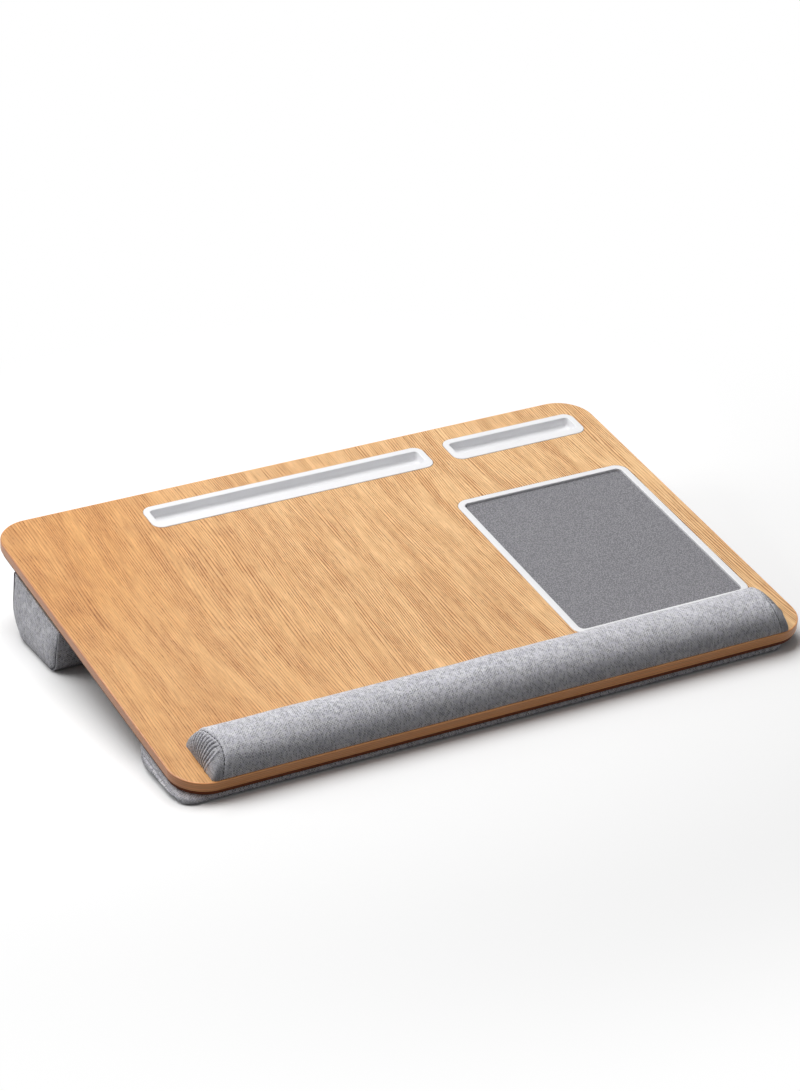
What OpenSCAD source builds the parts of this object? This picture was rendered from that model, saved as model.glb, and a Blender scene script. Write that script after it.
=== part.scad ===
// Lap desk: a veneered board with a wrist rest, a mouse mat and two device slots,
// on a thin base board that carries a low front cushion and a tall rear cushion.
// Millimetres, +Z up, origin on the floor under the middle of the desk. +Y is away from the user.

/* [Board] */
// Width of the board, left to right
board_w = 550; // [500:5:620]
// Depth of the board, front to back
board_d = 382; // [360:2:420]
// Radius of the board's corners seen from above
corner_r = 30; // [15:1:45]
// Thickness of the board's core
core_t = 7; // [5:0.5:12]
// Thickness of the face veneer, and of the backing veneer under the core
veneer_t = 0.5; // [0.4:0.1:1]
// Thickness of the wooden edge band
band_t = 1; // [0.5:0.1:2]

/* [Stance] */
// Slope of the board, rising to the back, in degrees
tilt = 9; // [7:0.5:10]
// Height of the front cushion at the front edge of the desk
front_h = 5; // [4.5:0.5:20]

/* [Base board] */
// Thickness of the base board under the cushions' backing cloth
base_t = 2.5; // [2:0.5:5]
// Distance that the base board's edge stands back from the board's edge
base_setback = 1.8; // [1:0.1:8]

/* [Hook and loop pads] */
// Length of one pad, left to right
pad_w = 70; // [40:5:100]
// Width of one pad, front to back
pad_d = 25; // [15:1:40]
// Thickness of each half, hooks or loops
pad_t = 0.5; // [0.4:0.1:1.5]
// Corner radius of a pad
pad_r = 5; // [2:0.5:7]
// Distance from the middle of the desk to an outer pad, left to right
pad_x = 190; // [120:5:200]
// Distance from the middle of the desk to a pad, front to back
pad_y = 110; // [80:5:120]

/* [Device slots] */
// Distance from the board's right edge to the phone tray's rim
slot_right = 18; // [12:1:40]
// Distance from the board's back edge to the rims of both trays
slot_back = 21; // [16:1:40]
// Length of the phone tray over its rim
phone_w = 128.4; // [100:0.2:160]
// Length of the tablet tray over its rim
tablet_w = 260; // [200:5:270]
// Gap between the rims of the two trays
slot_gap = 19.5; // [12:0.5:40]
// Depth of both trays over their rims, front to back
slot_d = 33; // [28:0.5:40]
// Length of rim at each end of a slot
rim_end = 5.7; // [4:0.1:10]
// Width of rim in front of a slot
rim_front = 8.5; // [4:0.5:10]
// Width of rim behind a slot
rim_rear = 6.4; // [4:0.1:8]
// Thickness of a tray's walls and floor
tray_t = 1.2; // [1:0.1:2]
// Thickness of a tray's rim
rim_t = 1.6; // [1.2:0.1:2.5]
// Corner radius of a tray's rim
tray_r = 9; // [7:0.5:12]
// Corner radius of a slot
slot_r = 4; // [3.5:0.5:6]

/* [Mouse mat] */
// Distance from the board's right edge to the mat's frame
mat_right = 17; // [12:1:40]
// Gap between the wrist rest and the mat's frame
mat_gap = 8.5; // [2:0.5:20]
// Width of the frame, left to right
mat_w = 163.5; // [140:0.5:200]
// Depth of the frame, front to back
mat_d = 210; // [180:0.5:240]
// Corner radius of the frame
mat_r = 11; // [9:0.5:20]
// Width of the frame's rim
frame_rim = 6; // [4:0.5:8]
// Depth of the pocket that holds the frame and the mat
pocket_depth = 3.6; // [3.2:0.1:4.5]
// Thickness of the mat
mat_t = 1; // [0.5:0.1:1.3]
// Thickness of the foam sheet under the mat
mat_foam_t = 1; // [0.5:0.1:1.5]
// Height that the frame and the trays' rims stand over the veneer
rim_proud = 0.4; // [0.2:0.1:1]

/* [Wrist rest] */
// Distance from the board's left edge to the wrist rest
rest_left = 24; // [14:1:60]
// Distance from the board's right edge to the wrist rest
rest_right = 20; // [14:1:60]
// Depth of the wrist rest, front to back
rest_d = 51.5; // [45:0.5:53]
// Height of the wrist rest over the veneer
rest_h = 22.5; // [16:0.5:30]
// Distance that the rest stands back from the board's front edge
rest_front = 1; // [0.5:0.5:4]
// Height of the upright lip at each end of the rest
rest_lip = 6; // [4:0.5:10]
// Length over which the rest's crown falls to that lip
rest_fall = 17; // [12:1:30]
// Corner radius of the rest seen from above
rest_r = 5; // [3:1:14]
// Thickness of the stiff strip that the rest's cover is drawn round
strip_t = 1.5; // [1:0.1:3]

/* [Cushions] */
// Thickness of the cushions' cloth, with its bonded lining
cloth_t = 0.9; // [0.7:0.1:1.5]
// Thickness of the backing cloth between a cushion and the base board
backing_t = 0.5; // [0.4:0.1:1]
// Distance that the front cushion stands back from the board's front edge
front_inset = 1; // [0.5:0.5:6]
// Depth of the front cushion along the board
front_d = 86.5; // [60:1:100]
// Distance from the board's left side to the front cushion
front_left = 0; // [0:1:30]
// Distance from the board's right side to the front cushion
front_right = 20; // [0:1:60]
// Corner radius of the front cushion at the front, seen from above
front_corner_r = 14; // [10:1:32]
// Radius of the front cushion's lower front edge
front_edge_r = 5; // [3:0.5:5.5]
// Corner radius of the front cushion at its rear, seen from above
front_rear_corner_r = 14; // [8:1:20]
// Radius of the front cushion's lower rear edge
front_heel_r = 9; // [6:0.5:11]
// Distance that the front cushion's rear swells out past its top
front_swell = 0.5; // [0:0.5:3]
// Distance from the board's back edge to the rear cushion
rear_inset = 51.5; // [45:0.5:70]
// Depth of the rear cushion where it meets the base board
rear_d = 94; // [80:1:105]
// Distance that the rear cushion's front leans back on its way down
rear_lean = 10; // [4:1:14]
// Distance that the rear cushion's back swells out past its top
rear_swell = 8; // [4:1:12]
// Radius of the rear cushion's lower front edge
rear_toe_r = 14; // [10:1:18]
// Radius of the rear cushion's lower rear edge
rear_heel_r = 24.5; // [18:0.5:28]
// Radius of the rear cushion's corners and end edges
rear_end_r = 6; // [4:0.5:8]
// Depth that each cushion is pressed flat on the floor
press = 0.5; // [0.3:0.1:1]

/* [Fits] */
// Gap between a tray or frame and the wood round it
wood_fit = 0.3; // [0.2:0.1:0.6]
// Gap between a filling and its cloth
fill_fit = 0.3; // [0.2:0.1:0.6]

/* [Hidden] */
$fn = 64;

oak = "#dba065";
oak_edge = "#a5683c";
dark_wood = "#5b3216";
fibreboard = "#8a6a4c";
white_plastic = "#f2f2f2";
black_plastic = "#2f2f31";
grey_leather = "#878587";
black_foam = "#3c3c3e";
heather = "#a9a8b0";
padding = "#f4f1e8";
black_cloth = "#26262a";

// How far a cutting shape runs past the face that it cuts
eps = 0.5;
turn = 90;
arc_steps = 7;
crown_steps = 20;
// 2 is an ellipse, more is a fuller crown
crown_power = 2.5;
front_steps = 8;
rear_steps = 4;
rest_steps = 7;

board_t = core_t + 2 * veneer_t;
pad_gap = 2 * pad_t;
base_top = board_t + pad_gap;
base_under = base_top + base_t;
cloth_top = base_under + backing_t;
// Height of the middle of the board's face over the floor
deck_h = front_h + (board_d / 2 - front_inset) * sin(tilt) + cloth_top * cos(tilt);
// Half of the amount by which the board's back overhangs its front once it slopes
centre_y = board_t * sin(tilt) / 2;

slot_y = board_d / 2 - slot_back - slot_d / 2;
phone_x = board_w / 2 - slot_right - phone_w / 2;
tablet_x = phone_x - phone_w / 2 - slot_gap - tablet_w / 2;
slot_offset = (rim_front - rim_rear) / 2;
slot_open_d = slot_d - rim_front - rim_rear;

mat_x = board_w / 2 - mat_right - mat_w / 2;
mat_y = -board_d / 2 + rest_front + rest_d + mat_gap + mat_d / 2;
mat_inner_r = mat_r - frame_rim;

rest_w = board_w - rest_left - rest_right;
rest_x = (rest_left - rest_right) / 2;
rest_y = -board_d / 2 + rest_front + rest_d / 2;

// Places a piece that is drawn on the board's face: origin at its middle, +Z out of the wood
module on_board() {
    translate([0, -centre_y, deck_h]) rotate([tilt, 0, 0]) children();
}

// Rectangle with round corners, about its middle
module rounded(w, d, r) {
    square([w - 2 * r, d], center = true);
    square([w, d - 2 * r], center = true);
    for (x = [-1, 1], y = [-1, 1])
        translate([x * (w / 2 - r), y * (d / 2 - r)]) circle(r);
}

module plate(w, d, r, low, high) {
    translate([0, 0, low]) linear_extrude(high - low) rounded(w, d, r);
}

// Closed skin through a list of rings that have the same number of points
module skin(rings) {
    n = len(rings[0]);
    last = (len(rings) - 1) * n;
    sides = [
        for (k = [0 : len(rings) - 2], i = [0 : n - 1])
            let (a = k * n + i, b = k * n + (i + 1) % n)
                each [[a, b, b + n], [a, b + n, a + n]]
    ];
    start_cap = [for (i = [1 : n - 2]) [0, i + 1, i]];
    end_cap = [for (i = [1 : n - 2]) [last, last + i, last + i + 1]];
    polyhedron([for (r = rings) each r], concat(sides, start_cap, end_cap));
}

// How far a round corner of radius r stands in from the side, at distance s from the end
function corner_in(s, r) = s >= r ? 0 : r - sqrt(r * r - (r - s) * (r - s));

// Distances from an end that follow a quarter circle of radius r
function quarter(r, steps) = [for (k = [0 : steps]) r * (1 - cos(turn * k / steps))];

// The same distances from both ends of a length w about its middle, left to right
function stations(w, r, steps) = concat(
    [for (s = quarter(r, steps)) [-w / 2 + s, s]],
    [for (k = [steps : -1 : 0]) let (s = quarter(r, steps)[k]) [w / 2 - s, s]]
);

// Height of a layer that lies drop below the board's face, over the floor at y
function layer_z(y, drop) = deck_h + (y + centre_y) * tan(tilt) - drop / cos(tilt);

// The floor-frame y of a point on the board at y, drop below its face
function layer_y(y, drop) = y * cos(tilt) + drop * sin(tilt) - centre_y;

// Outline of a cushion across the desk, from the top of its back down, along the floor and up its
// front, drawn in by wall on all sides but the top.
// form: [front_y, back_y, toe_r, heel_r, lean, swell, width, x of its middle]
function cushion_section(form, wall, drop) =
    let (
        toe = form[2] - wall,
        heel = form[3] - wall,
        toe_y = form[0] + form[4] + form[2],
        heel_y = form[1] + form[5] - form[3],
        front = form[0] + wall,
        back = form[1] - wall
    ) concat(
        [[back, layer_z(back, drop)]],
        [for (k = [0 : arc_steps]) let (a = -turn * k / arc_steps)
            [heel_y + heel * cos(a), max(wall, form[3] - press + heel * sin(a))]],
        [for (k = [0 : arc_steps]) let (a = -turn - turn * k / arc_steps)
            [toe_y + toe * cos(a), max(wall, form[2] - press + toe * sin(a))]],
        [[front, layer_z(front, drop)]]
    );

// A cushion's section moved to one station: its front, back and lower edges stand in near the end
function cushion_ring(section, x, front_in, back_in, lift, wall, drop) =
    let (
        front = min([for (p = section) p[0]]),
        back = max([for (p = section) p[0]]),
        shrink = (back - front - front_in - back_in) / (back - front)
    ) [
        for (p = section)
            let (
                y = front + front_in + (p[0] - front) * shrink,
                share = (layer_z(p[0], drop) - p[1]) / (layer_z(p[0], drop) - wall),
                z = layer_z(y, drop) - share * (layer_z(y, drop) - wall - lift)
            ) [x, y, z]
    ];

// Solid of a cushion, drawn in by wall. corners: [front, back, lower edge] radii at the ends
module cushion(form, corners, wall, drop, steps) {
    section = cushion_section(form, wall, drop);
    skin([
        for (s = stations(form[6] - 2 * wall, max(corners[0], corners[1]) - wall, steps))
            cushion_ring(
                section, form[7] + s[0],
                corner_in(s[1], corners[0] - wall), corner_in(s[1], corners[1] - wall),
                corner_in(s[1], corners[2] - wall), wall, drop
            )
    ]);
}

// The front cushion's lower edge is never rounder than the cushion is thick there
front_toe_r = min(front_edge_r, front_h);
front_form = [
    layer_y(-board_d / 2 + front_inset, cloth_top), layer_y(-board_d / 2 + front_inset + front_d, cloth_top),
    front_toe_r, front_heel_r, 0, front_swell, board_w - front_left - front_right,
    (front_left - front_right) / 2
];
front_corners = [front_corner_r, front_rear_corner_r, front_toe_r];
rear_form = [
    layer_y(board_d / 2 - rear_inset - rear_d, cloth_top), layer_y(board_d / 2 - rear_inset, cloth_top),
    rear_toe_r, rear_heel_r, rear_lean, rear_swell, board_w, 0
];
rear_corners = [rear_end_r, rear_end_r, rear_end_r];

module cushion_cover(form, corners, steps) {
    difference() {
        cushion(form, corners, 0, cloth_top, steps);
        cushion(form, corners, cloth_t, cloth_top - eps, steps);
    }
}

module cushion_filling(form, corners, steps) {
    cushion(form, corners, cloth_t + fill_fit, cloth_top, steps);
}

// Flat cloth between a cushion and the base board
module cushion_backing(form, front_y, depth, r) {
    on_board() translate([form[7], front_y + depth / 2])
        plate(form[6] - 2 * base_setback - 2 * r, depth, r, -cloth_top, -base_under);
}

// One D-shaped ring of the wrist rest, drawn in by wall, with its flat side at height low
function rest_ring(x, s, wall, low) =
    let (
        half_d = rest_d / 2 - wall - corner_in(s, rest_r - wall),
        fall = s >= rest_fall ? 1 : sqrt(1 - pow(1 - s / rest_fall, 2)),
        h = rest_lip + (rest_h - rest_lip) * fall - wall
    ) [
        for (k = [0 : crown_steps])
            let (a = 2 * turn * k / crown_steps, c = cos(a), up = max(sin(a), 0))
                [x, -half_d * sign(c) * pow(abs(c), 2 / crown_power), low + (h - low) * pow(up, 2 / crown_power)]
    ];

module rest(wall, low) {
    on_board() translate([rest_x, rest_y, 0])
        skin([for (s = stations(rest_w - 2 * wall, rest_fall, rest_steps)) rest_ring(s[0], s[1], wall, low)]);
}

// The slot in a tray whose rim is w long, grown by wall on all sides
module slot_plate(w, wall, low, high) {
    translate([0, slot_offset])
        plate(w - 2 * rim_end + 2 * wall, slot_open_d + 2 * wall, slot_r + wall, low, high);
}

// A tray with a rim that lies in a rebate round the slot's body
module tray(w) {
    difference() {
        union() {
            plate(w, slot_d, tray_r, rim_proud - rim_t, rim_proud);
            slot_plate(w, tray_t, -board_t, rim_proud - rim_t);
        }
        slot_plate(w, 0, -board_t + tray_t, rim_proud + eps);
    }
}

// What is cut out of the board for the trays and the mouse mat
module board_cuts() {
    translate([phone_x, slot_y]) tray_cut(phone_w);
    translate([tablet_x, slot_y]) tray_cut(tablet_w);
    translate([mat_x, mat_y])
        plate(mat_w + 2 * wood_fit, mat_d + 2 * wood_fit, mat_r + wood_fit, -pocket_depth, eps);
}

module tray_cut(w) {
    plate(w + 2 * wood_fit, slot_d + 2 * wood_fit, tray_r + wood_fit, rim_proud - rim_t, eps);
    slot_plate(w, tray_t + wood_fit, -board_t - eps, eps);
}

module board_layer(low, high) {
    on_board() difference() {
        plate(board_w - 2 * band_t, board_d - 2 * band_t, corner_r - band_t, low, high);
        board_cuts();
    }
}

module core_board() {
    color(fibreboard) board_layer(-board_t + veneer_t, -veneer_t);
}

module face_veneer() {
    color(oak) board_layer(-veneer_t, 0);
}

module backing_veneer() {
    color(oak_edge) board_layer(-board_t, -board_t + veneer_t);
}

module edge_band() {
    color(oak_edge) on_board() difference() {
        plate(board_w, board_d, corner_r, -board_t, 0);
        plate(board_w - 2 * band_t, board_d - 2 * band_t, corner_r - band_t, -board_t - eps, eps);
    }
}

module phone_tray() {
    color(white_plastic) on_board() translate([phone_x, slot_y]) tray(phone_w);
}

module tablet_tray() {
    color(white_plastic) on_board() translate([tablet_x, slot_y]) tray(tablet_w);
}

module mouse_mat_frame() {
    color(white_plastic) on_board() translate([mat_x, mat_y]) difference() {
        plate(mat_w, mat_d, mat_r, -pocket_depth, rim_proud);
        plate(mat_w - 2 * frame_rim, mat_d - 2 * frame_rim, mat_inner_r, -pocket_depth - eps, rim_proud + eps);
    }
}

module mat_sheet(low, high) {
    on_board() translate([mat_x, mat_y])
        plate(mat_w - 2 * frame_rim - 2 * wood_fit, mat_d - 2 * frame_rim - 2 * wood_fit,
            mat_inner_r - wood_fit, low, high);
}

module mouse_mat() {
    color(grey_leather) mat_sheet(-pocket_depth + mat_foam_t, -pocket_depth + mat_foam_t + mat_t);
}

module mouse_mat_foam() {
    color(black_foam) mat_sheet(-pocket_depth, -pocket_depth + mat_foam_t);
}

module wrist_rest_cover() {
    color(heather) difference() {
        rest(0, 0);
        rest(cloth_t, -eps);
    }
}

module wrist_rest_foam() {
    color(padding) difference() {
        rest(cloth_t + fill_fit, 0);
        on_board() translate([rest_x, rest_y]) plate(rest_w, rest_d, rest_r, -eps, strip_t);
    }
}

module wrist_rest_strip() {
    inset = cloth_t + fill_fit;
    color(black_plastic) on_board() translate([rest_x, rest_y])
        plate(rest_w - 2 * inset, rest_d - 2 * inset, rest_r - inset, 0, strip_t);
}

// One set of pads at each corner of the desk and in the middle of its front and back
module pads(low, high) {
    on_board() for (x = [-pad_x, 0, pad_x], y = [-pad_y, pad_y])
        translate([x, y]) plate(pad_w, pad_d, pad_r, low, high);
}

module loop_pads() {
    color(black_cloth) pads(-board_t - pad_t, -board_t);
}

module hook_pads() {
    color(black_cloth) pads(-base_top, -base_top + pad_t);
}

module base_board() {
    color(dark_wood) on_board()
        plate(board_w - 2 * base_setback, board_d - 2 * base_setback, corner_r - base_setback, -base_under, -base_top);
}

module front_cushion_cover() {
    color(heather) cushion_cover(front_form, front_corners, front_steps);
}

module front_cushion_filling() {
    color(padding) cushion_filling(front_form, front_corners, front_steps);
}

module front_cushion_backing() {
    color(black_cloth) cushion_backing(front_form, -board_d / 2 + front_inset, front_d, front_corner_r);
}

module rear_cushion_cover() {
    color(heather) cushion_cover(rear_form, rear_corners, rear_steps);
}

module rear_cushion_filling() {
    color(padding) cushion_filling(rear_form, rear_corners, rear_steps);
}

module rear_cushion_backing() {
    color(black_cloth) cushion_backing(rear_form, board_d / 2 - rear_inset - rear_d, rear_d, rear_end_r);
}

core_board();
face_veneer();
backing_veneer();
edge_band();
phone_tray();
tablet_tray();
mouse_mat_frame();
mouse_mat();
mouse_mat_foam();
wrist_rest_cover();
wrist_rest_foam();
wrist_rest_strip();
loop_pads();
hook_pads();
base_board();
front_cushion_cover();
front_cushion_filling();
front_cushion_backing();
rear_cushion_cover();
rear_cushion_filling();
rear_cushion_backing();
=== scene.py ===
# Lap desk with a wrist rest, a mouse mat and two device slots, on a cushioned base
import math

import bmesh
import bpy
import numpy as np
from mathutils import Matrix, Vector, noise as softNoise


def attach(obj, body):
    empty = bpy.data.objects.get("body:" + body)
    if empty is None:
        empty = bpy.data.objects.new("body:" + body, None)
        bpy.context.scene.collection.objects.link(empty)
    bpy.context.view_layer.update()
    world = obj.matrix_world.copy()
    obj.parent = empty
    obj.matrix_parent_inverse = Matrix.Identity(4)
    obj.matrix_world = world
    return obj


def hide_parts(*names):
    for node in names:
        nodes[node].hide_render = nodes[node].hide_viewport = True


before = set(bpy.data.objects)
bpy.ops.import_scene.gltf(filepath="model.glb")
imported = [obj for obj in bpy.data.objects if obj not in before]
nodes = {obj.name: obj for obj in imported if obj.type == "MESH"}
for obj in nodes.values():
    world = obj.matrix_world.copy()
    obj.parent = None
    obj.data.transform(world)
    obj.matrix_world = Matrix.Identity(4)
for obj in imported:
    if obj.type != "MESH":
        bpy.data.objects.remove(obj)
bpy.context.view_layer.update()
scene = bpy.context.scene
print("frame loaded:", len(nodes), "pieces")

# The board's own frame: origin in the middle of its face, +Z out of the wood
deck = {
    "tilt": math.radians(9), "height": 0.0465748, "centreY": 0.0006257,
    "width": 0.55, "depth": 0.382, "corner": 0.03, "thick": 0.008,
}
onBoard = Matrix.Translation((0, -deck["centreY"], deck["height"])) @ Matrix.Rotation(deck["tilt"], 4, "X")
offBoard = onBoard.inverted()


# node helpers

def srgb(red, green, blue):
    # a display colour, 0 to 255, as the linear colour that a shader wants
    parts = [c / 255 for c in (red, green, blue)]
    return tuple(c / 12.92 if c <= 0.04045 else ((c + 0.055) / 1.055) ** 2.4 for c in parts) + (1.0,)


canvas = {"tree": None}   # the node tree that is being drawn


def startTree(owner):
    # an owner is a material, a world or a node group
    canvas["tree"] = getattr(owner, "node_tree", owner)
    return canvas["tree"]


def fill(made, values):
    # sets a node's inputs from numbers, or links them to sockets
    for key, value in values.items():
        if isinstance(value, bpy.types.NodeSocket):
            canvas["tree"].links.new(value, made.inputs[key])
        else:
            made.inputs[key].default_value = value
    return made


def put(kind, values=None, **settings):
    # adds a node: settings are its options, values its inputs
    made = canvas["tree"].nodes.new("ShaderNode" + kind)
    for key, value in settings.items():
        setattr(made, key, value)
    return fill(made, values or {})


def calc(operation, first, second=0.0):
    return put("Math", {0: first, 1: second}, operation=operation).outputs[0]


def plus(first, second):
    return calc("ADD", first, second)


def minus(first, second):
    return calc("SUBTRACT", first, second)


def times(first, second):
    return calc("MULTIPLY", first, second)


def vectorCalc(operation, first, second):
    return put("VectorMath", {0: first, 1: second}, operation=operation).outputs[0]


def scaled(vector, scale):
    return put("VectorMath", {0: vector, "Scale": scale}, operation="SCALE").outputs[0]


def split(vector):
    return put("SeparateXYZ", {0: vector}).outputs


def joined(x, y, z):
    return put("CombineXYZ", {0: x, 1: y, 2: z}).outputs[0]


def stretched(vector, scale, offset):
    return put("Mapping", {"Vector": vector, "Scale": scale, "Location": offset}).outputs[0]


def cloud(vector, scale=1.0, detail=2.0, roughness=0.5):
    values = {"Vector": vector, "Scale": scale, "Detail": detail, "Roughness": roughness}
    return put("TexNoise", values).outputs[0]


def colouredCloud(vector, scale, detail):
    return put("TexNoise", {"Vector": vector, "Scale": scale, "Detail": detail}).outputs["Color"]


def cellsOf(vector, scale, randomness=1.0):
    # distance to the middle of the nearest cell
    values = {"Vector": vector, "Scale": scale, "Randomness": randomness}
    return put("TexVoronoi", values).outputs["Distance"]


def ranged(value, low, high, toLow=0.0, toHigh=1.0):
    values = {"Value": value, "From Min": low, "From Max": high, "To Min": toLow, "To Max": toHigh}
    return put("MapRange", values, interpolation_type="SMOOTHSTEP").outputs[0]


def clamped(value):
    return put("Clamp", {0: value}).outputs[0]


def mixed(share, first, second, blend="MIX"):
    values = {0: share, 6: first, 7: second}
    return put("Mix", values, data_type="RGBA", blend_type=blend).outputs[2]


def mixedValue(share, first, second):
    return put("Mix", {0: share, 2: first, 3: second}).outputs[0]


def tinted(colour, tint):
    return mixed(1.0, colour, tint, "MULTIPLY")


def shaded(colour, value):
    return tinted(colour, put("CombineColor", {0: value, 1: value, 2: value}).outputs[0])


def startGroup(name, colours, numbers, second):
    # every group takes a vector, and the named colours and numbers; it gives a colour and a second value
    tree = startTree(bpy.data.node_groups.new(name, "ShaderNodeTree"))
    kinds = {"Vector": "Vector", **dict.fromkeys(colours, "Color"), **dict.fromkeys(numbers, "Float")}
    for key, kind in kinds.items():
        tree.interface.new_socket(key, in_out="INPUT", socket_type="NodeSocket" + kind)
    for key, kind in {"Color": "Color", second: "Float"}.items():
        tree.interface.new_socket(key, in_out="OUTPUT", socket_type="NodeSocket" + kind)
    return tree, tree.nodes.new("NodeGroupInput").outputs, tree.nodes.new("NodeGroupOutput")


def useGroup(group, values):
    return put("Group", values, node_tree=group).outputs


# node groups

# noise along the grain: cells per metre across it and along it, detail, roughness and offset
streakSets = {
    "broad": (55, 5, 3, 0.55, 0.0),
    "waver": (70, 3, 2, 0.5, 9.0),
    "ragged": (700, 60, 2, 0.6, 4.0),
    "patches": (110, 9, 2, 0.5, 2.0),
    "mottle": (230, 42, 3, 0.6, 6.0),
    "fibre": (1500, 45, 2, 0.6, 1.0),
}
ringLook = {
    "driftScale": (6, 2.1, 6), "driftOffset": (2.2, 7.1, 0), "waver": 4.0, "ragged": 0.25,
    "lateFrom": 0.35, "lateFull": 0.86, "lateDrop": 0.88, "poresAcross": 1500, "poresAlong": 120,
}


def makeGrain():
    # growth rings that run along Y of its vector, which is in metres, cut a little aslant
    tree, start, end = startGroup(
        "woodGrain", ("Light", "Dark", "Pore"),
        ("Pitch", "Wander", "Figure", "Lines", "Pores", "Mottle"), "Height",
    )
    point = start["Vector"]
    parts = split(point)
    place = stretched(point, ringLook["driftScale"], ringLook["driftOffset"])
    drift = minus(cloud(place, 1, 1.5, 0.4), 0.5)
    acrossGrain = plus(parts[0], times(drift, start["Wander"]))

    def drawnOut(across, along, offset):
        return joined(times(acrossGrain, across), times(parts[1], along), offset)

    def streaks(name):
        across, along, detail, roughness, offset = streakSets[name]
        return cloud(drawnOut(across, along, offset), 1, detail, roughness)

    phase = calc("DIVIDE", acrossGrain, start["Pitch"])
    for name in ("waver", "ragged"):
        phase = plus(phase, times(streaks(name), ringLook[name]))
    phase = calc("FRACT", phase)
    rise = ranged(phase, ringLook["lateFrom"], ringLook["lateFull"])
    late = times(rise, ranged(phase, 1.0, ringLook["lateDrop"]))
    late = times(late, ranged(streaks("patches"), 0.3, 0.62, 0.25, 1.0))
    broad = ranged(streaks("broad"), 0.3, 0.7)
    tone = plus(times(broad, start["Figure"]), times(late, start["Lines"]))
    mottle = minus(streaks("mottle"), 0.5)
    tone = clamped(plus(tone, times(mottle, start["Mottle"])))
    # open pores: short dark dashes, crowded in the late wood
    cells = cellsOf(drawnOut(ringLook["poresAcross"], ringLook["poresAlong"], 0.0), 1.0)
    crowd = ranged(tone, 0.1, 0.8, 0.14, 0.42)
    pores = ranged(minus(crowd, cells), 0.0, 0.12)
    fibre = streaks("fibre")
    body = mixed(tone, start["Light"], start["Dark"])
    body = shaded(body, ranged(fibre, 0.3, 0.7, 0.88, 1.1))
    shown = mixed(times(pores, start["Pores"]), body, start["Pore"])
    height = minus(times(fibre, 0.3), plus(pores, times(late, 0.25)))
    fill(end, {"Color": shown, "Height": height})
    return tree


threadLook = {"wanderScale": 60.0, "wander": 0.0025, "laneStep": 7.31, "setStep": 9.7}


def makeWeave():
    # plain weave on a vector in metres along the cloth: darker threads one way, lighter the other
    tree, start, end = startGroup("clothWeave", ("Light", "Middle", "Dark"), ("Threads", "Slub"), "Height")
    wander = colouredCloud(start["Vector"], threadLook["wanderScale"], 1.0)
    wander = scaled(vectorCalc("SUBTRACT", wander, (0.5, 0.5, 0.5)), threadLook["wander"])
    moved = vectorCalc("ADD", start["Vector"], wander)
    part = split(scaled(moved, start["Threads"]))
    cell = [calc("FLOOR", part[k]) for k in (0, 1)]
    hump = [calc("SINE", times(calc("FRACT", part[k]), math.pi)) for k in (0, 1)]
    tones = []
    for own, other in ((0, 1), (1, 0)):
        run = times(part[other], start["Slub"])
        lane = times(cell[own], threadLook["laneStep"])
        tones.append(cloud(joined(lane, run, own * threadLook["setStep"]), 1, 2, 0.6))
    over = calc("FLOORED_MODULO", plus(cell[0], cell[1]), 2)
    lift = [times(hump[k], plus(times(hump[1 - k], 0.4), 0.6)) for k in (0, 1)]
    height = mixedValue(over, lift[0], lift[1])
    warp = mixed(ranged(tones[0], 0.34, 0.64), start["Dark"], start["Middle"])
    weft = mixed(ranged(tones[1], 0.36, 0.64), start["Middle"], start["Light"])
    shade = mixed(ranged(over, 0, 1, 0.22, 0.78), warp, weft)
    # painted shade: the weave is darker where its threads dip
    shade = shaded(shade, ranged(height, 0.0, 0.6, 0.82, 1.0))
    fill(end, {"Color": shade, "Height": height})
    return tree


def makePebble():
    # fine pebbled leather on a vector in metres
    tree, start, end = startGroup("pebble", ("Light", "Dark"), ("Size",), "Height")
    scale = calc("DIVIDE", 1.0, start["Size"])
    wobble = colouredCloud(start["Vector"], times(scale, 0.8), 2.0)
    wobble = scaled(wobble, times(start["Size"], 0.4))
    place = vectorCalc("ADD", start["Vector"], wobble)
    fine = cloud(place, times(scale, 2.4), 2)
    dome = ranged(cellsOf(place, scale), 0.62, 0.15)
    height = plus(dome, times(fine, 0.15))
    shade = mixed(ranged(height, 0.1, 0.8), start["Dark"], start["Light"])
    fill(end, {"Color": shade, "Height": height})
    return tree


def makeWear():
    # handling: faint smudges and dust that change gloss and colour a little
    tree, start, end = startGroup("handling", ("Color", "Smudge"), ("Amount", "Gloss", "Spread"), "Roughness")
    large = cloud(start["Vector"], 38, 3, 0.6)
    small = cloud(start["Vector"], 900, 2, 0.6)
    patch = times(ranged(large, 0.4, 0.7), ranged(small, 0.3, 0.7, 0.4, 1.0))
    colour = mixed(times(patch, start["Amount"]), start["Color"], start["Smudge"])
    gloss = plus(start["Gloss"], times(minus(large, 0.5), start["Spread"]))
    fill(end, {"Color": colour, "Roughness": gloss})
    return tree


grainGroup = makeGrain()
weaveGroup = makeWeave()
pebbleGroup = makePebble()
wearGroup = makeWear()


# materials

def startMaterial(name, values):
    material = bpy.data.materials.new(name)
    material.use_nodes = True
    return material, fill(startTree(material).nodes["Principled BSDF"], values)


def boardPoint():
    # object coordinates turned into the board's frame
    values = {
        "Vector": put("TexCoord").outputs["Object"],
        "Location": offBoard.to_translation(),
        "Rotation": (-deck["tilt"], 0, 0),
    }
    return put("Mapping", values).outputs[0]


def bump(height, distance, strength=1.0):
    return put("Bump", {"Height": height, "Distance": distance, "Strength": strength}).outputs[0]


def finishSurface(shader, point, colour, normal, wear):
    # the last step of most materials: signs of handling, and the relief
    worn = useGroup(wearGroup, {"Vector": point, "Color": colour, **wear})
    fill(shader, {"Base Color": worn["Color"], "Roughness": worn["Roughness"], "Normal": normal})


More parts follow.
